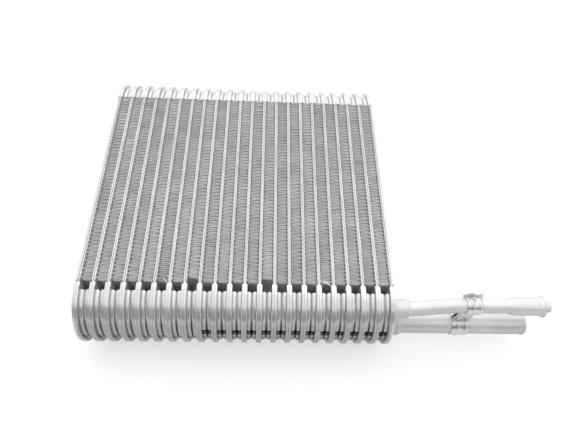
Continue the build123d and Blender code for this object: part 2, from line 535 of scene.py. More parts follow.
def plate_tree(name, steps):
    """A tree that carries an outline through steps of (inwards, along)."""
    tree, value, end = new_tree(name, {"Middle": "Float", "Way": "Float", "Metal": "Material"})
    kept = tree.nodes.new("GeometryNodeInputNamedAttribute")
    kept.data_type = "FLOAT_VECTOR"
    kept.inputs["Name"].default_value = "inward"
    inward = kept.outputs["Attribute"]

    def shift(pull, along):
        """The move that goes with a step inwards and a step along the stack."""
        forward = vector(tree, times(tree, value["Way"], along * MM))
        return vector_calc(tree, "ADD", vector_calc(tree, "SCALE", inward, scale=pull * MM), forward)

    base = move(tree, value["Geometry"], offset=shift(*steps[0]))
    solid = base
    top = None
    for before, after in zip(steps, steps[1:]):
        push = tree.nodes.new("GeometryNodeExtrudeMesh")
        push.inputs["Offset Scale"].default_value = 0
        push.inputs["Individual"].default_value = False
        feed(tree, push.inputs["Mesh"], solid)
        feed(tree, push.inputs["Selection"], top)
        top = push.outputs["Top"]
        change = shift(after[0] - before[0], after[1] - before[1])
        solid = move(tree, push.outputs["Mesh"], top, offset=change)
    flip = tree.nodes.new("GeometryNodeFlipFaces")
    feed(tree, flip.inputs[0], base)
    weld = tree.nodes.new("GeometryNodeMergeByDistance")
    weld.inputs["Distance"].default_value = 1e-6
    feed(tree, weld.inputs[0], join(tree, solid, flip.outputs[0]))
    placed = move(tree, weld.outputs[0], offset=vector(tree, value["Middle"]))
    close_tree(tree, placed, value["Metal"], end)
    return tree


print("plate tree ready")

# %% [markdown]
# The seed of a plate is its outline as one flat face. The way inwards is worked out here for each point:
# it is square to the mean direction of the point's two edges, so that a corner moves in along its
# bisector. A tree could find it from normals, but on one flat face they all point the same way.

# %% The seed of a plate


def outline_mesh(outlines, way):
    """Faces across the stack, with the direction inwards kept on each point.

    An outline is a list of (along the tube, up) in millimetres, in either turning sense."""
    points, faces, inwards = [], [], []
    for outline in outlines:
        area = sum(a[0] * b[1] - b[0] * a[1] for a, b in zip(outline, outline[1:] + outline[:1]))
        if (area > 0) != (way > 0):
            outline = outline[::-1]
        first = len(points)
        count = len(outline)
        for index in range(count):
            ring = [(index + offset) % count for offset in (-1, 0, 1)]
            before, here, after = (Vector(outline[place]) for place in ring)
            along = (here - before).normalized() + (after - here).normalized()
            along = along.normalized()
            inwards.append(Vector((0, -along.y * way, along.x * way)))
            points.append((0, here.x * MM, here.y * MM))
        faces.append(list(range(first, first + count)))
    mesh = bpy.data.meshes.new("outline")
    mesh.from_pydata(points, [], faces)
    kept = mesh.attributes.new("inward", "FLOAT_VECTOR", "POINT")
    kept.data.foreach_set("vector", [value for item in inwards for value in item])
    return mesh


def plate(tree, outlines, middle, way, material):
    """One run of a plate tree. The way is 1 towards the right end plate and -1 towards the left."""
    settings = {"Middle": middle * MM, "Way": float(way), "Metal": material}
    return run_tree(tree, outline_mesh(outlines, way), settings, "plate")


print("plates can be made")

# %% [markdown]
# ## Sizes of the stack
#
# The places come from the CAD pieces, so that every new piece lies exactly where its node is. What the
# boxes can't tell, such as the radius of a cup or where it starts beyond the fins, is written here.

# %% Sizes
left_low, left_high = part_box("end_plate_left")
right_low, right_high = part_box("end_plate_right")
fin_low, fin_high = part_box("fin_01")
columns = 21
first_tube = left_high.x / MM
pitch = (right_low.x - left_high.x) / MM / columns
depth = (left_high.z - left_low.z) / MM
radius = depth / 2
half_fins = 99.5
neck = left_high.y / MM - half_fins - radius
head_start = 1.25
tube_half = 1.55
rim_half = 2.35
cup_height = pitch / 2 - rim_half
cup_radius = radius - 2.5
near_cup_start = 6.6
far_cup_start = 3.7
whole_cup_columns = 8
slot_low = 6.6
slot_high = 11.3
print("pitch", round(pitch, 3), "depth", round(depth, 2), "neck", round(neck, 2))

# %% [markdown]
# ## Tubes
#
# A tube is a flat bar between the fins, with a fine groove where its two plates meet, and a broader
# D-shaped rim round each tank. The rim starts with a small waist. The cups stand on both sides of the
# rim, and the rounded edges of two neighbouring cups leave a valley between them. In the first columns a
# cup runs over the whole depth. In the others it is split in two, with a slot between. The outlines are
# short lists of points, measured out from the fins and up from mid depth.

# %% Outlines of bar and rim


def arc(centre, size, start, stop, count):
    """Points on an arc, both ends included."""
    turns = [start + (stop - start) * place / count for place in range(count + 1)]
    return [(centre[0] + size * cos(turn), centre[1] + size * sin(turn)) for turn in turns]


def tank_side(points, side):
    """Turns points out from the fins into points along the tube at the near or far tank."""
    return [(side * (half_fins + out), radius + up) for out, up in points]


def bar_outline():
    """The flat middle of a tube, with its corners cut a little."""
    inner, outer = half_fins - 0.5, half_fins + 0.2
    low, high = 0.5, depth - 0.5
    return [(-outer, low), (-inner, 0), (inner, 0), (outer, low),
            (outer, high), (inner, depth), (-inner, depth), (-outer, high)]


def waist_outline():
    """The narrow, lower stretch between the flat middle and the head of each rim."""
    start, stop = -1.0, head_start + 1.6
    low, high = 0.7 - radius, radius - 0.7
    return [(start, low), (stop, low), (stop, high), (start, high)]


def rim_outline():
    """The D of the rim, with a rounded head at its start."""
    head = [(0, 1.1), (0.15, 0.45), (0.55, 0.08), (1.2, 0.0)]
    lower = [(head_start + out, -radius + cut) for out, cut in head]
    front = arc((neck, 0), radius, -pi / 2, pi / 2, 40)
    upper = [(out, -up) for out, up in reversed(lower)]
    return lower + front[1:-1] + upper


print("points round a rim:", len(rim_outline()))

# %% [markdown]
# A cup's outline is the same D, set in from the rim, or a slice of that D between two heights. Its
# corners are rounded, as a drawing die leaves them, and those of a slice below a slot are rounder.

# %% Outlines of the cups
cup_corner = 1.2
lower_corner = 3.6
corner_points = 4
arc_step = 0.09


def cup_outline(low, high, start, corner):
    """The D of a cup, or the slice of it between two heights, with rounded corners."""
    size = cup_radius - corner
    end = start + corner
    steep = acos((end - neck) / size)
    points = []
    if low > -cup_radius:
        first = asin((low + corner) / size)
        turn_place = (neck + size * cos(first), low + corner)
        points += arc((end, low + corner), corner, pi, 1.5 * pi, corner_points)
        points += arc(turn_place, corner, -pi / 2, first, corner_points)
    else:
        first = -steep
        points += arc((end, -size * sin(steep)), corner, -pi, first, corner_points)
    last = asin((high - corner) / size) if high < cup_radius else steep
    front_steps = max(6, round((last - first) / arc_step))
    points += arc((neck, 0), cup_radius, first, last, front_steps)[1:-1]
    if high < cup_radius:
        turn_place = (neck + size * cos(last), high - corner)
        points += arc(turn_place, corner, last, pi / 2, corner_points)
        points += arc((end, high - corner), corner, pi / 2, pi, corner_points)
    else:
        points += arc((end, size * sin(steep)), corner, last, pi, corner_points)
    return points


def cup_outlines(column):
    """The cups of one column at both tanks."""
    slices = [(-cup_radius, cup_radius, cup_corner)]
    if column > whole_cup_columns:
        slices = [(-cup_radius, slot_low, lower_corner), (slot_high, cup_radius, cup_corner)]
    outlines = []
    for low, high, corner in slices:
        for side, start in ((-1, near_cup_start), (1, far_cup_start)):
            outlines.append(tank_side(cup_outline(low, high, start, corner), side))
    return outlines


print("cup outlines in a split column:", len(cup_outlines(columns)))

# %% [markdown]
# The edge of each kind of plate is a short list of steps, each a distance inwards and a distance along
# the stack. A step inwards in the middle of a list makes the groove where two plates meet. The outermost
# tubes are single plates, so they get half the steps.

# %% Edge shapes
bar_edge = [(0.9, 0.0), (0.4, 0.12), (0.1, 0.35), (0.0, 0.62), (0.06, 0.85), (0.35, 1.1), (1.3, 1.42),
            (1.3, 1.68), (0.35, 2.0), (0.06, 2.25), (0.0, 2.48), (0.1, 2.75), (0.4, 2.98), (0.9, 3.1)]
rim_edge = [(0.9, 0.0), (0.3, 0.18), (0.06, 0.5), (0.0, 0.9), (0.0, 2.15), (0.22, 2.35),
            (0.0, 2.55), (0.0, 3.8), (0.06, 4.2), (0.3, 4.52), (0.9, 4.7)]
waist_edge = [(0.3, 0.0), (0.0, 0.35), (0.0, 0.85), (0.4, 1.1), (0.0, 1.35), (0.0, 1.85), (0.3, 2.2)]
cup_edge = [(0.4, 0.0), (0.12, 0.3), (0.0, 0.8), (0.0, 1.5), (0.07, 2.1), (0.26, 2.65), (0.6, 3.1),
            (1.05, 3.45), (1.7, cup_height)]
waist_half = waist_edge[-1][1] / 2


def half_edge(edge, groove, half):
    """The edge of a single plate: it starts in the groove and goes on as the whole edge does."""
    return [(groove, 0.0)] + [(pull, along - half) for pull, along in edge if along > half + 1e-6]


bar_tree = plate_tree("bar", bar_edge)
rim_tree = plate_tree("rim", rim_edge)
waist_tree = plate_tree("waist", waist_edge)
half_bar_tree = plate_tree("half_bar", half_edge(bar_edge, 1.3, tube_half))
half_rim_tree = plate_tree("half_rim", half_edge(rim_edge, 0.18, rim_half))
half_waist_tree = plate_tree("half_waist", half_edge(waist_edge, 0.4, waist_half))
cup_tree = plate_tree("cup", cup_edge)
print("plate trees:", len(bpy.data.node_groups))

# %% [markdown]
# A tube could be one mesh that is copied along the stack. It is built anew for every place here, because
# the first and last tubes are single plates and the cups change after the eighth column.

# %% Make the tubes
rims = [tank_side(rim_outline(), side) for side in (-1, 1)]
waists = [tank_side(waist_outline(), side) for side in (-1, 1)]
whole_tube = ((bar_tree, [bar_outline()], tube_half), (rim_tree, rims, rim_half),
              (waist_tree, waists, waist_half))
half_tube = ((half_bar_tree, [bar_outline()], 0), (half_rim_tree, rims, 0), (half_waist_tree, waists, 0))
for number in range(1, columns + 2):
    middle = first_tube + (number - 1) * pitch
    single = number in (1, columns + 1)
    way = -1 if number > columns else 1
    shapes = half_tube if single else whole_tube
    meshes = [plate(tree, outlines, middle - half, way, plate_metal) for tree, outlines, half in shapes]
    if number > 1:
        meshes.append(plate(cup_tree, cup_outlines(number - 1), middle - rim_half, -1, plate_metal))
    if number <= columns:
        meshes.append(plate(cup_tree, cup_outlines(number), middle + rim_half, 1, plate_metal))
    finish_piece(f"plates_{number:02d}", meshes, plate_metal, [f"tube_{number:02d}"])
print("tubes:", columns + 1)

# %% [markdown]
# ## End plates
#
# An end plate is a flat sheet with the outline of a whole tube: both rims, the flat middle and the small
# waists between them. It is one outline here, so that no groove runs across its face.

# %% Make the end plates
end_edge = [(0.12, 0.0), (0.0, 0.15), (0.0, 1.5), (0.08, 1.8), (0.3, 2.0)]
end_tree = plate_tree("end_plate", end_edge)


def whole_outline():
    """Both rims and the flat middle in one outline."""
    near_rim, far_rim = (tank_side(rim_outline(), side) for side in (-1, 1))
    waist_out, waist_cut = half_fins + 0.6, 0.7
    top = [(-waist_out, depth - waist_cut), (-half_fins, depth),
           (half_fins, depth), (waist_out, depth - waist_cut)]
    bottom = [(waist_out, waist_cut), (half_fins, 0), (-half_fins, 0), (-waist_out, waist_cut)]
    return near_rim + top + far_rim[::-1] + bottom


for name, middle, way in (("left", first_tube, -1), ("right", first_tube + columns * pitch, 1)):
    mesh = plate(end_tree, [whole_outline()], middle, way, end_metal)
    finish_piece(f"side_{name}", [mesh], end_metal, [f"end_plate_{name}"])
print("faces of an end plate:", len(mesh.polygons))

# %% [markdown]
# ## Fins
#
# A fin is one strip folded to and fro between two tubes, with rounded crests, and with rows of louvres
# pressed out of its walls. A tree makes it from a rule: point by point, a line goes round a crest at one
# tube, straight across, and round the next crest at the other tube, and the strip's section is swept
# along it. The louvres are small blades set on every wall near both faces of the core. The row nearest
# a face is tipped more on one wall and less on the next, which gives the folds their light and dark
# lines, and the rows below it are all tipped one way. Under the upper face the strip is bent to and fro
# by soft noise, as handling leaves it.

# %% The strip of a fin
crest_points = 6


def fold_line(tree, value, index):
    """The curve that a fin's strip follows, seen from above."""
    turn = calc(tree, "MODULO", index, float(crest_points))
    crest = calc(tree, "FLOOR", calc(tree, "DIVIDE", plus(tree, index, 0.5), float(crest_points)))
    side = minus(tree, 1.0, times(tree, calc(tree, "MODULO", crest, 2.0), 2.0))
    angle = minus(tree, times(tree, turn, pi / (crest_points - 1)), pi / 2)
    bulge = times(tree, minus(tree, calc(tree, "COSINE", angle), 1.0), value["Crest Reach"])
    swing = times(tree, plus(tree, value["Reach"], bulge), side)
    crest_place = times(tree, plus(tree, crest, 0.5), times(tree, value["Fold Length"], 0.5))
    along = plus(tree, times(tree, calc(tree, "SINE", angle), value["Crest Width"]), crest_place)
    height = times(tree, plus(tree, value["High"], value["Low"]), 0.5)
    spot = vector(tree, plus(tree, swing, value["Middle"]), plus(tree, along, value["Start"]), height)
    line = tree.nodes.new("GeometryNodeMeshLine")
    feed(tree, line.inputs["Count"], times(tree, value["Folds"], 2.0 * crest_points))
    walk = tree.nodes.new("GeometryNodeMeshToCurve")
    feed(tree, walk.inputs[0], move(tree, line.outputs[0], position=spot))
    upright = tree.nodes.new("GeometryNodeSetCurveNormal")
    upright.mode = "Z_UP"
    feed(tree, upright.inputs[0], walk.outputs[0])
    return upright.outputs[0]


def fold_strip(tree, value, index, parts):
    """The strip itself. Its section has extra points where the bent stretch under the upper face starts."""
    full_height = minus(tree, value["High"], value["Low"])
    section = tree.nodes.new("GeometryNodeCurvePrimitiveQuadrilateral")
    feed(tree, section.inputs["Width"], value["Sheet"])
    feed(tree, section.inputs["Height"], full_height)
    halves = tree.nodes.new("GeometryNodeSubdivideCurve")
    feed(tree, halves.inputs["Curve"], section.outputs[0])
    level_share = calc(tree, "DIVIDE", times(tree, parts["Y"], 2.0), full_height)
    in_middle = minus(tree, 1.0, times(tree, level_share, level_share))
    to_bend = minus(tree, times(tree, full_height, 0.5), value["Bend Depth"])
    shaped = move(tree, halves.outputs[0], offset=vector(tree, 0.0, times(tree, in_middle, to_bend)))
    strip = tree.nodes.new("GeometryNodeCurveToMesh")
    strip.inputs["Fill Caps"].default_value = True
    feed(tree, strip.inputs["Curve"], fold_line(tree, value, index))
    feed(tree, strip.inputs["Profile Curve"], shaped)
    return strip.outputs[0]


print("points round a crest:", crest_points)

# %% [markdown]
# The louvres are one small box, repeated on a row of points by Instance on Points. Each point's number
# says which wall and which row it belongs to, and its place, its lean along the wall and its tip follow
# from that. Half of the rows lie under the upper face and half over the lower one.

# %% The louvres of a fin
blade_rows = 8
deep_longer = 0.22
deep_shift_share = 0.7


def fold_louvres(tree, value, index):
    """The blades on every wall of a fin."""
    rows = float(blade_rows)
    half_fold = times(tree, value["Fold Length"], 0.5)
    walls = minus(tree, times(tree, value["Folds"], 2.0), 1.0)
    wall = calc(tree, "FLOOR", calc(tree, "DIVIDE", plus(tree, index, 0.5), rows))
    row = calc(tree, "MODULO", index, rows)
    lower = calc(tree, "GREATER_THAN", row, rows / 2 - 0.5)
    deep = calc(tree, "MINIMUM", calc(tree, "MODULO", row, rows / 2), 1.0)
    outermost = minus(tree, 1.0, deep)
    wall_place = plus(tree, times(tree, plus(tree, wall, 1.0), half_fold), value["Start"])
    wall_side = minus(tree, times(tree, calc(tree, "MODULO", wall, 2.0), 2.0), 1.0)

    drop = plus(tree, times(tree, row, value["Blade Step"]), value["First Blade"])
    rise = minus(tree, drop, times(tree, value["Blade Step"], rows / 2))
    upper_height = minus(tree, value["High"], drop)
    gap = minus(tree, plus(tree, value["Low"], rise), upper_height)
    height = plus(tree, upper_height, times(tree, gap, lower))
    shift_share = minus(tree, 1.0, times(tree, deep, deep_shift_share))
    shift = times(tree, times(tree, value["Blade Shift"], shift_share), wall_side)
    sideways = minus(tree, value["Middle"], shift)

    narrow = minus(tree, half_fold, times(tree, value["Crest Width"], 2.0))
    wide = times(tree, minus(tree, value["Reach"], value["Crest Reach"]), 2.0)
    lean = times(tree, calc(tree, "ARCTANGENT", calc(tree, "DIVIDE", narrow, wide)), wall_side)
    swing = plus(tree, value["Tip Swing"], times(tree, value["Swing Growth"], wall_place))
    swing = times(tree, times(tree, swing, wall_side), outermost)
    tip = plus(tree, plus(tree, value["Tip"], swing), times(tree, value["Deep Tip"], deep))
    tilt = tree.nodes.new("FunctionNodeEulerToRotation")
    feed(tree, tilt.inputs[0], vector(tree, tip, 0.0, lean))

    points = tree.nodes.new("GeometryNodeMeshLine")
    feed(tree, points.inputs["Count"], times(tree, walls, rows))
    spots = move(tree, points.outputs[0], position=vector(tree, sideways, wall_place, height))
    blade = tree.nodes.new("GeometryNodeMeshCube")
    feed(tree, blade.inputs["Size"], value["Blade"])
    blades = tree.nodes.new("GeometryNodeInstanceOnPoints")
    feed(tree, blades.inputs["Points"], spots)
    feed(tree, blades.inputs["Instance"], blade.outputs[0])
    feed(tree, blades.inputs["Rotation"], tilt.outputs[0])
    longer = plus(tree, 1.0, times(tree, deep, deep_longer))
    feed(tree, blades.inputs["Scale"], vector(tree, longer, 1.0, 1.0))
    real = tree.nodes.new("GeometryNodeRealizeInstances")
    feed(tree, real.inputs[0], blades.outputs[0])
    return real.outputs[0]


print("rows of louvres:", blade_rows)

# %% [markdown]
# The whole tree joins the strip and the louvres, bends both near the upper face, and paints them.

# %% The fin tree
handling_scale = 260


def fin_tree():
    """Makes one folded fin from its number of folds, place and size."""
    floats = ("Middle", "Start", "Fold Length", "Reach", "Crest Reach", "Crest Width", "Low", "High",
              "Sheet", "Tip", "Tip Swing", "Swing Growth", "Deep Tip", "First Blade", "Blade Step",
              "Blade Shift", "Wobble", "Bend Depth")
    sockets = {"Folds": "Int", "Blade": "Vector", "Metal": "Material"}
    sockets.update({label: "Float" for label in floats})
    tree, value, end = new_tree("folded_fin", sockets)
    index = tree.nodes.new("GeometryNodeInputIndex").outputs[0]
    parts = split(tree, tree.nodes.new("GeometryNodeInputPosition").outputs[0])
    fin = join(tree, fold_strip(tree, value, index, parts), fold_louvres(tree, value, index))
    bend_start = minus(tree, value["High"], value["Bend Depth"])
    near_face = step(tree, parts["Z"], bend_start, value["High"], kind="LINEAR")
    shake = times(tree, minus(tree, noise(tree, None, handling_scale, 1), 0.5), value["Wobble"])
    bent = move(tree, fin, offset=vector(tree, 0.0, times(tree, shake, near_face)))
    close_tree(tree, bent, value["Metal"], end)
    return tree


folded = fin_tree()
print("nodes in the fin tree:", len(folded.nodes))

# %% [markdown]
# ## Knocks on the fins
#
# The photograph shows spots where the fins were knocked, two torn slivers at the near tank and two fins
# that stop one fold short. A knock is a small push of the points round a place, strongest at the upper
# face. Each one is written as its place along the tube, its reach, how far aside of the fin's middle it
# lies, and the push.

# %% Knocks
folds = 54
fold_length = 2 * half_fins / folds
bend_depth = 3.4
end_squeeze = 0.8
squeeze_start = half_fins + 0.7
knock_width = 3.2
knock_dip = 0.35
short_columns = {8: 1, 13: 1}
knocks = {
    1: [(99.0, 1.5, -1.0, 1.3), (73.0, 3.0, 2.0, 1.1), (64.0, 1.5, 2.5, 1.0)],
    2: [(49.0, 2.0, -1.5, 1.3), (43.0, 1.8, -2.0, 1.3), (36.5, 2.0, -2.0, 1.1)],
    3: [(98.5, 1.2, -1.5, 1.2), (87.5, 1.2, -1.0, 1.1), (60.0, 2.0, 1.0, 0.9)],
    4: [(85.0, 4.0, 0.0, -0.7), (74.0, 5.0, 0.0, -0.8)],
    6: [(-96.0, 3.0, 0.0, -1.3)],
    9: [(20.0, 2.0, 1.0, 0.9)],
    11: [(83.5, 1.4, -0.8, 1.5), (76.0, 1.3, -0.8, 1.4)],
    12: [(78.5, 1.4, 0.4, 1.5)],
    16: [(-62.0, 1.6, 0.5, 1.0)],
    17: [(-97.0, 3.0, 0.0, 1.2)],
    19: [(12.0, 1.6, -1.0, 1.2), (-40.0, 1.5, 1.0, 1.0)],
    20: [(-70.0, 1.5, 0.0, 1.1)],
}


def knock(mesh, middle, spots):
    """Bends the upper edges at some spots, and squeezes the last fold in between the far rims."""
    for point in mesh.vertices:
        x, y, z = point.co / MM
        aside = x - middle
        if y > squeeze_start:
            aside *= end_squeeze
        share = max(0, z - fin_high.z / MM + bend_depth) / bend_depth
        push = 0
        for place, reach, off, strength in spots:
            push += strength * exp(-((y - place) / reach) ** 2 - ((aside - off) / knock_width) ** 2)
        point.co = Vector((middle + aside, y + push * share, z - knock_dip * abs(push) * share)) * MM


print("knocked fins:", len(knocks))

# %% [markdown]
# A sliver is a torn end of the strip that has curled out of the core: a thin tapered ribbon on an arch.

# %% Slivers
slivers = {
    6: ((-129.5, -96.6, 69.6), (-125.0, -100.2, 69.0), 0.7),
    17: ((2.4, -97.4, 69.9), (10.6, -101.4, 69.2), 0.8),
}


def bmesh_to_mesh(shape, name):
    """Turns all faces outwards and gives back a plain mesh."""
    bmesh.ops.recalc_face_normals(shape, faces=shape.faces)
    mesh = bpy.data.meshes.new(name)
    shape.to_mesh(mesh)
    shape.free()
    return mesh


def sliver_mesh(start, stop, rise, width=0.75, sheet=0.14, steps=10):
    """A ribbon from one place to another, with a rise in between."""
    shape = bmesh.new()
    rows = []
    start, stop = Vector(start), Vector(stop)
    way = (stop - start).normalized()
    aside = Vector((-way.y, way.x, 0)).normalized() * width / 2
    down = Vector((0, 0, -sheet))
    for place in range(steps + 1):
        share = place / steps
        curl = Vector((0, 0.4 * sin(2 * pi * share), rise * sin(pi * share)))
        spot = start.lerp(stop, share) + curl
        taper = aside * (1 - 0.7 * share * share)
        ring = (spot - taper, spot + taper, spot + taper + down, spot - taper + down)
        rows.append([shape.verts.new(corner * MM) for corner in ring])
    for first, second in zip(rows, rows[1:]):
        for side in range(4):
            after = (side + 1) % 4
            shape.faces.new((first[side], first[after], second[after], second[side]))
    shape.faces.new(rows[0][::-1])
    shape.faces.new(rows[-1])
    return bmesh_to_mesh(shape, "sliver")


print("slivers:", len(slivers))

# %% [markdown]
# Every column gets its own run of the tree. The tips of the louvres drift a little from column to
# column, and the fourth column, whose folds hardly show, swings least.

# %% Make the fins
fin_sheet = 0.12
flat_column = 4
seed = bpy.data.meshes.new("seed")
seed.from_pydata([(0, 0, 0)], [], [])
for column in range(1, columns + 1):
    missing = short_columns.get(column, 0)
    middle = first_tube + (column - 0.5) * pitch
    swing = 6 if column == flat_column else 15.5 + 3.5 * sin(column * 1.7)
    settings = {
        "Folds": folds + 1 - missing,
        "Middle": middle * MM,
        "Start": (-half_fins + missing * fold_length) * MM,
        "Fold Length": fold_length * MM,
        "Reach": (pitch / 2 - tube_half - fin_sheet / 4) * MM,
        "Crest Reach": 0.9 * MM,
        "Crest Width": 0.6 * MM,
        "Low": fin_low.z,
        "High": fin_high.z,
        "Sheet": fin_sheet * MM,
        "Tip": radians(-26 + 3 * sin(column * 2.3)),
        "Tip Swing": radians(swing),
        "Swing Growth": radians(100),
        "Deep Tip": radians(-30),
        "Blade": (6.5 * MM, 0.1 * MM, 1.3 * MM),
        "Blade Shift": 0.8 * MM,
        "First Blade": 0.85 * MM,
        "Blade Step": 1.2 * MM,
        "Wobble": 0.9 * MM,
        "Bend Depth": bend_depth * MM,
        "Metal": fin_metal,
    }
    mesh = run_tree(folded, seed, settings, "fin")
    knock(mesh, middle, knocks.get(column, []))
    meshes = [mesh]
    if column in slivers:
        meshes.append(sliver_mesh(*slivers[column]))
    finish_piece(f"folds_{column:02d}", meshes, fin_metal, [f"fin_{column:02d}"], 45)
print("fins:", columns, "with", len(mesh.polygons), "faces each")

# %% [markdown]
# ## Pipes
#
# Pipes, ferrules and plug are all turned pieces. Such a piece is a ring carried along an axis, with a
# radius for each place: first along the outside, then back along the inside, so that a pipe is hollow
# with a real wall. A screw modifier could only turn round a straight axis, and one pipe bends.

# %% Turned pieces
plate_face = right_high.x / MM
pipe_wall = 1.2


def smooth_share(value):
    """Goes smoothly from 0 to 1."""
    value = min(1, max(0, value))
    return value * value * (3 - 2 * value)


def turned_mesh(name, profile, axis, sides=48, closed=True):
    """Carries a ring along an axis. The profile is a list of (along, radius) in millimetres."""
    shape = bmesh.new()
    rings = []
    for along, size in profile:
        here = Vector(axis(along))
        if size < 1e-6:
            rings.append([shape.verts.new(here * MM)])
            continue
        forward = (Vector(axis(along + 0.05)) - Vector(axis(along - 0.05))).normalized()
        up = Vector((0, 0, 1))
        sideways = forward.cross(up).normalized()
        ring = []
        for place in range(sides):
            turn = 2 * pi * place / sides
            spoke = (sideways * cos(turn) + up * sin(turn)) * size
            ring.append(shape.verts.new((here + spoke) * MM))
        rings.append(ring)
    pairs = list(zip(rings, rings[1:]))
    if closed:
        pairs.append((rings[-1], rings[0]))
    for first, second in pairs:
        for place in range(sides):
            after = place + 1
            ring = [first[place % len(first)], first[after % len(first)],
                    second[after % len(second)], second[place % len(second)]]
            unique = list(dict.fromkeys(ring))
            if len(unique) > 2:
                shape.faces.new(unique)
    return bmesh_to_mesh(shape, name)


print("the pipes start at x =", round(plate_face, 2), "mm")

# %% [markdown]
# The thinner pipe carries liquid. It leaves the end plate, bends a little towards the core, widens to a
# mouth and ends in a flare.

# %% The thinner pipe
liquid_low, liquid_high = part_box("liquid_pipe")
liquid_radius = 6.35
liquid_height = 57.51
liquid_side = -115.475
liquid_shift = 3.6
bend_start = plate_face + 10
bend_end = plate_face + 62
mouth_start = plate_face + 98.0
mouth_slope = 8.0
mouth_radius = 8.0
flare_radius = 9.5
liquid_end = liquid_high.x / MM
flare_start = liquid_end - 3.5


def liquid_axis(along):
    """The line of the thinner pipe."""
    share = smooth_share((along - bend_start) / (bend_end - bend_start))
    return (along, liquid_side + liquid_shift * share, liquid_height)


def bend_places(count):
    """Places along the bend, both ends included."""
    return [bend_start + (bend_end - bend_start) * place / count for place in range(count + 1)]


outside = [(plate_face, liquid_radius)]
outside += [(along, liquid_radius) for along in bend_places(16)]
for place in range(9):
    widening = (mouth_radius - liquid_radius) * smooth_share(place / 8)
    outside.append((mouth_start + mouth_slope * place / 8, liquid_radius + widening))
outside += [(flare_start - 0.6, mouth_radius)]
for place in range(7):
    opening = (flare_radius - 0.3 - mouth_radius) * (place / 6) ** 1.7
    outside.append((flare_start + 2.7 * place / 6, mouth_radius + opening))
outside += [(liquid_end - 0.5, flare_radius - 0.05), (liquid_end - 0.15, flare_radius - 0.1),
            (liquid_end, flare_radius - 0.4)]
inside = [(liquid_end - 0.1, flare_radius - 0.9), (liquid_end - 0.8, flare_radius - 1.3),
          (flare_start + 0.8, mouth_radius - 1.15), (flare_start - 1.0, mouth_radius - pipe_wall),
          (mouth_start + mouth_slope, mouth_radius - pipe_wall), (mouth_start, liquid_radius - pipe_wall)]
inside += [(along, liquid_radius - pipe_wall) for along in reversed(bend_places(8))]
inside += [(plate_face, liquid_radius - pipe_wall)]
mesh = turned_mesh("liquid", outside + inside, liquid_axis)
finish_piece("liquid_tube", [mesh], pipe_metal, ["liquid_pipe"])
print("rings on the thinner pipe:", len(outside + inside))

# %% [markdown]
# The thicker pipe carries the gas back. It is straight and ends in a rolled rim. A dull line round that
# rim is painted shade, where the rim's curve turns away from the light, and a short dark scratch below it
# is a mark in the material. Both are painted as egg-shaped places that the metal darkens towards.

# %% The thicker pipe
suction_low, suction_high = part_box("suction_pipe")
suction_radius = 9.525
suction_rim_radius = 10.125
suction_height = 23.43
suction_side = -115.83
suction_end = suction_high.x / MM


def mark_and_shade(material, centre, size, tone):
    """Darkens a material round a place, within an egg shape of the given half sizes."""
    tree = material.node_tree
    shader = tree.nodes["Principled BSDF"]
    before = shader.inputs["Base Color"].links[0].from_socket
    place = tree.nodes.new("ShaderNodeTexCoord").outputs["Object"]
    aside = vector_calc(tree, "SUBTRACT", place, Vector(centre) * MM)
    share = vector_calc(tree, "DIVIDE", aside, Vector(size) * MM)
    dark = step(tree, vector_calc(tree, "LENGTH", share), 1.0, 0.6, 0.0, 0.8, "LINEAR")
    feed(tree, shader.inputs["Base Color"], blend(tree, dark, before, tuple(tone) + (1,)))


def suction_axis(along):
    """The line of the thicker pipe."""
    return (along, suction_side, suction_height)


outside = [(plate_face, suction_radius), (plate_face + 60, suction_radius),
           (suction_end - 3.1, suction_radius), (suction_end - 2.6, suction_radius + 0.12),
           (suction_end - 2.2, suction_rim_radius - 0.12), (suction_end - 1.6, suction_rim_radius),
           (suction_end - 0.7, suction_rim_radius), (suction_end - 0.25, suction_rim_radius - 0.2),
           (suction_end, suction_rim_radius - 0.7)]
inside = [(suction_end - 0.1, suction_radius - 0.7), (suction_end - 0.7, suction_radius - pipe_wall),
          (plate_face + 60, suction_radius - pipe_wall), (plate_face, suction_radius - pipe_wall)]
mesh = turned_mesh("suction", outside + inside, suction_axis, 64)
rim_shade_line = (suction_end - 0.35, suction_side, suction_height)
scratch = (168.0, -122.5, 16.7)
# Painted shade: a dull line round the rolled rim.
mark_and_shade(wide_pipe_metal, rim_shade_line, (0.75, 30, 30), (0.42, 0.41, 0.40))
mark_and_shade(wide_pipe_metal, scratch, (3.2, 1.1, 0.55), (0.16, 0.15, 0.15))
finish_piece("suction_tube", [mesh], wide_pipe_metal, ["suction_pipe"])
print("the thicker pipe ends at x =", round(suction_end, 2), "mm")

# %% [markdown]
# ## Ferrules and plug
#
# Each pipe enters the end plate through a brazed ferrule: a collar with a slight belly, a rounded mouth
# and a fillet of filler metal at its foot.

# %% Ferrules
liquid_ferrule_radius = 8.2
suction_ferrule_radius = 11.625


def ferrule_profile(inner, outer, length):
    """The outline of a collar: its foot, its belly, its mouth and its bore."""
    foot = [(0.0, outer + 0.95), (0.35, outer + 0.45), (0.9, outer + 0.1), (2.0, outer - 0.25)]
    body = [(length * 0.3, outer - 0.3), (length * 0.5, outer - 0.05), (length * 0.7, outer),
            (length - 2.6, outer - 0.15), (length - 1.4, outer - 0.45), (length - 0.5, outer - 1.0)]
    mouth = [(length, inner + 0.25), (length - 0.3, inner), (0.0, inner)]
    return [(plate_face + along, size) for along, size in foot + body + mouth]


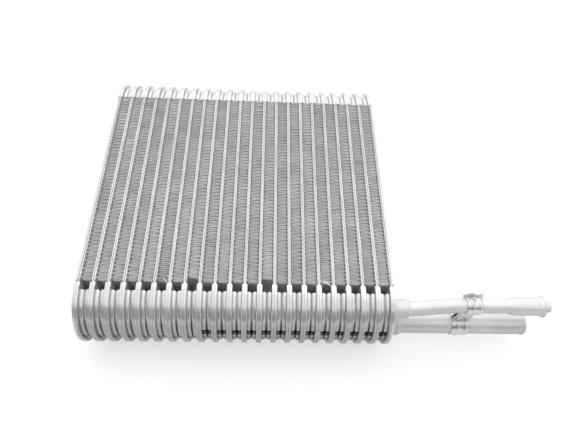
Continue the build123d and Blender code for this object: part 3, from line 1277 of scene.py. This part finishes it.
for name, axis, inner, outer in (("liquid", liquid_axis, liquid_radius, liquid_ferrule_radius),
                                 ("suction", suction_axis, suction_radius, suction_ferrule_radius)):
    low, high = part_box(f"{name}_pipe_ferrule")
    profile = ferrule_profile(inner, outer, (high.x - low.x) / MM)
    mesh = turned_mesh(name, profile, axis, 56)
    finish_piece(f"{name}_collar", [mesh], ferrule_metal, [f"{name}_pipe_ferrule"])
print("ferrule length:", round((high.x - low.x) / MM, 2), "mm")

# %% [markdown]
# A pale plug closes the thinner pipe. It is a solid turned piece with a soft lip that covers the flare's
# edge and a stepped nose.

# %% Plug
plug_low, plug_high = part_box("liquid_port_plug")
plug_start = plug_low.x / MM
plug_end = plug_high.x / MM
shank = [(plug_start, 0), (plug_start, 5.6), (plug_start + 0.6, 6.3), (plug_start + 1.6, 6.62),
         (liquid_end - 1.0, 6.65), (liquid_end - 0.4, 7.0)]
lip = [(liquid_end + 0.1, 7.6), (liquid_end + 0.6, 7.7), (liquid_end + 1.1, 7.4),
       (liquid_end + 1.3, 6.2), (liquid_end + 1.9, 5.6)]
nose = [(plug_end - 0.5, 5.0), (plug_end - 0.1, 4.2), (plug_end, 3.4), (plug_end, 0)]
mesh = turned_mesh("plug", shank + lip + nose, liquid_axis, 40, False)
finish_piece("plug", [mesh], plug_plastic, ["liquid_port_plug"])
print("plug length:", round(plug_end - plug_start, 2), "mm")

# %% [markdown]
# ## Clip
#
# The clip is one strap of bright sheet, bent by hand tools: it goes from a wavy tab round the thinner
# pipe, down between the pipes, round the thicker pipe and back up. Two beads run along it. A path with
# a profile on it would be quick, but the strap also changes its width and waves on its way, so its points
# are set one by one along a line: first the line, as seen along the pipes.

# %% The strap's line
clip_low, clip_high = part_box("pipe_clip")
upper = Vector((liquid_side + liquid_shift, liquid_height))
lower = Vector((suction_side, suction_height))
strap_sheet = 0.8
loop_gap = 0.15
upper_loop = liquid_radius + loop_gap + strap_sheet / 2
lower_loop = suction_radius + loop_gap + strap_sheet / 2
web_turn = atan2(lower.y - upper.y, lower.x - upper.x)
tab_turn = radians(50)
tab_way = Vector((cos(tab_turn), sin(tab_turn)))
tab_lengths = (4.3, 3.4, 2.5, 1.6, 0.7)
upper_room = radians(13)
lower_room = radians(9)


def loop_points(centre, size, start, stop, count):
    """Points on a loop of the strap."""
    turns = [start + (stop - start) * place / count for place in range(count + 1)]
    return [centre + Vector((cos(turn), sin(turn))) * size for turn in turns]


line = [upper + tab_way * (upper_loop + length) for length in tab_lengths]
line += loop_points(upper, upper_loop, tab_turn + radians(9), 2 * pi + web_turn - upper_room, 26)
line += loop_points(lower, lower_loop, pi + web_turn + lower_room, 3 * pi + web_turn - lower_room, 40)
line += loop_points(upper, upper_loop, 2 * pi + web_turn + upper_room, 2 * pi + tab_turn - radians(12), 16)
print("points on the strap's line:", len(line))

# %% [markdown]
# The sheet follows that line between two edges, which say where it starts along the pipes and how wide it
# is, with a lift for each place on it. The lift makes the beads, the waves of the tab and the crumpled web.

# %% The strap's sheet


def strap_edges(here, along):
    """The lower loop sits a little nearer the core than the upper one, and the tab is wider."""
    up = smooth_share((here.y - 33.0) / 18.0)
    on_tab = smooth_share((0.07 - along) / 0.04)
    start = clip_low.x / MM - 1.6 + 3.6 * up - 3.4 * on_tab
    width = 15.2 - 1.8 * up + 4.4 * on_tab
    return start, width


def strap_lift(along, across_share):
    """Two beads along the strap, waves on its tab and a crumpled web."""
    beads = sum(0.8 * max(0, 1 - ((across_share - middle) / 0.11) ** 2) for middle in (0.34, 0.8))
    on_tab = smooth_share((0.09 - along) / 0.06)
    waves = 1.15 * sin(across_share * 2 * pi * 1.5 + 0.9) + 0.35 * sin(across_share * 2 * pi * 3.3)
    on_web = smooth_share(1 - abs(along - 0.36) / 0.05)
    crumple = 0.22 * sin(across_share * 23 + along * 90) * on_web
    return beads * (1 - on_tab) + waves * on_tab + crumple


def strap_layer(shape, line, rows, half):
    """The points of the inner or the outer side of the sheet."""
    layer = []
    for place, here in enumerate(line):
        way = (line[min(len(line) - 1, place + 1)] - line[max(0, place - 1)]).normalized()
        out = Vector((way.y, -way.x))
        along = place / (len(line) - 1)
        start, width = strap_edges(here, along)
        row = []
        for column in range(rows + 1):
            share = column / rows
            spot = here + out * (half * strap_sheet + strap_lift(along, share))
            row.append(shape.verts.new(Vector((start + width * share, spot.x, spot.y)) * MM))
        layer.append(row)
    return layer


def strap_mesh(name, line, rows):
    """Both sides of the sheet and its four edges."""
    shape = bmesh.new()
    inner, outer = (strap_layer(shape, line, rows, half) for half in (-0.5, 0.5))
    last = len(line) - 1
    for layer in (inner, outer):
        for first, second in zip(layer, layer[1:]):
            for column in range(rows):
                shape.faces.new((first[column], first[column + 1], second[column + 1], second[column]))
    for place in range(last):
        for column in (0, rows):
            shape.faces.new((inner[place][column], inner[place + 1][column],
                             outer[place + 1][column], outer[place][column]))
    for place in (0, last):
        for column in range(rows):
            shape.faces.new((inner[place][column], inner[place][column + 1],
                             outer[place][column + 1], outer[place][column]))
    return bmesh_to_mesh(shape, name)


mesh = strap_mesh("strap", line, 28)
finish_piece("tie_clip", [mesh], clip_metal, ["pipe_clip"], 40)
print("faces of the strap:", len(mesh.polygons))
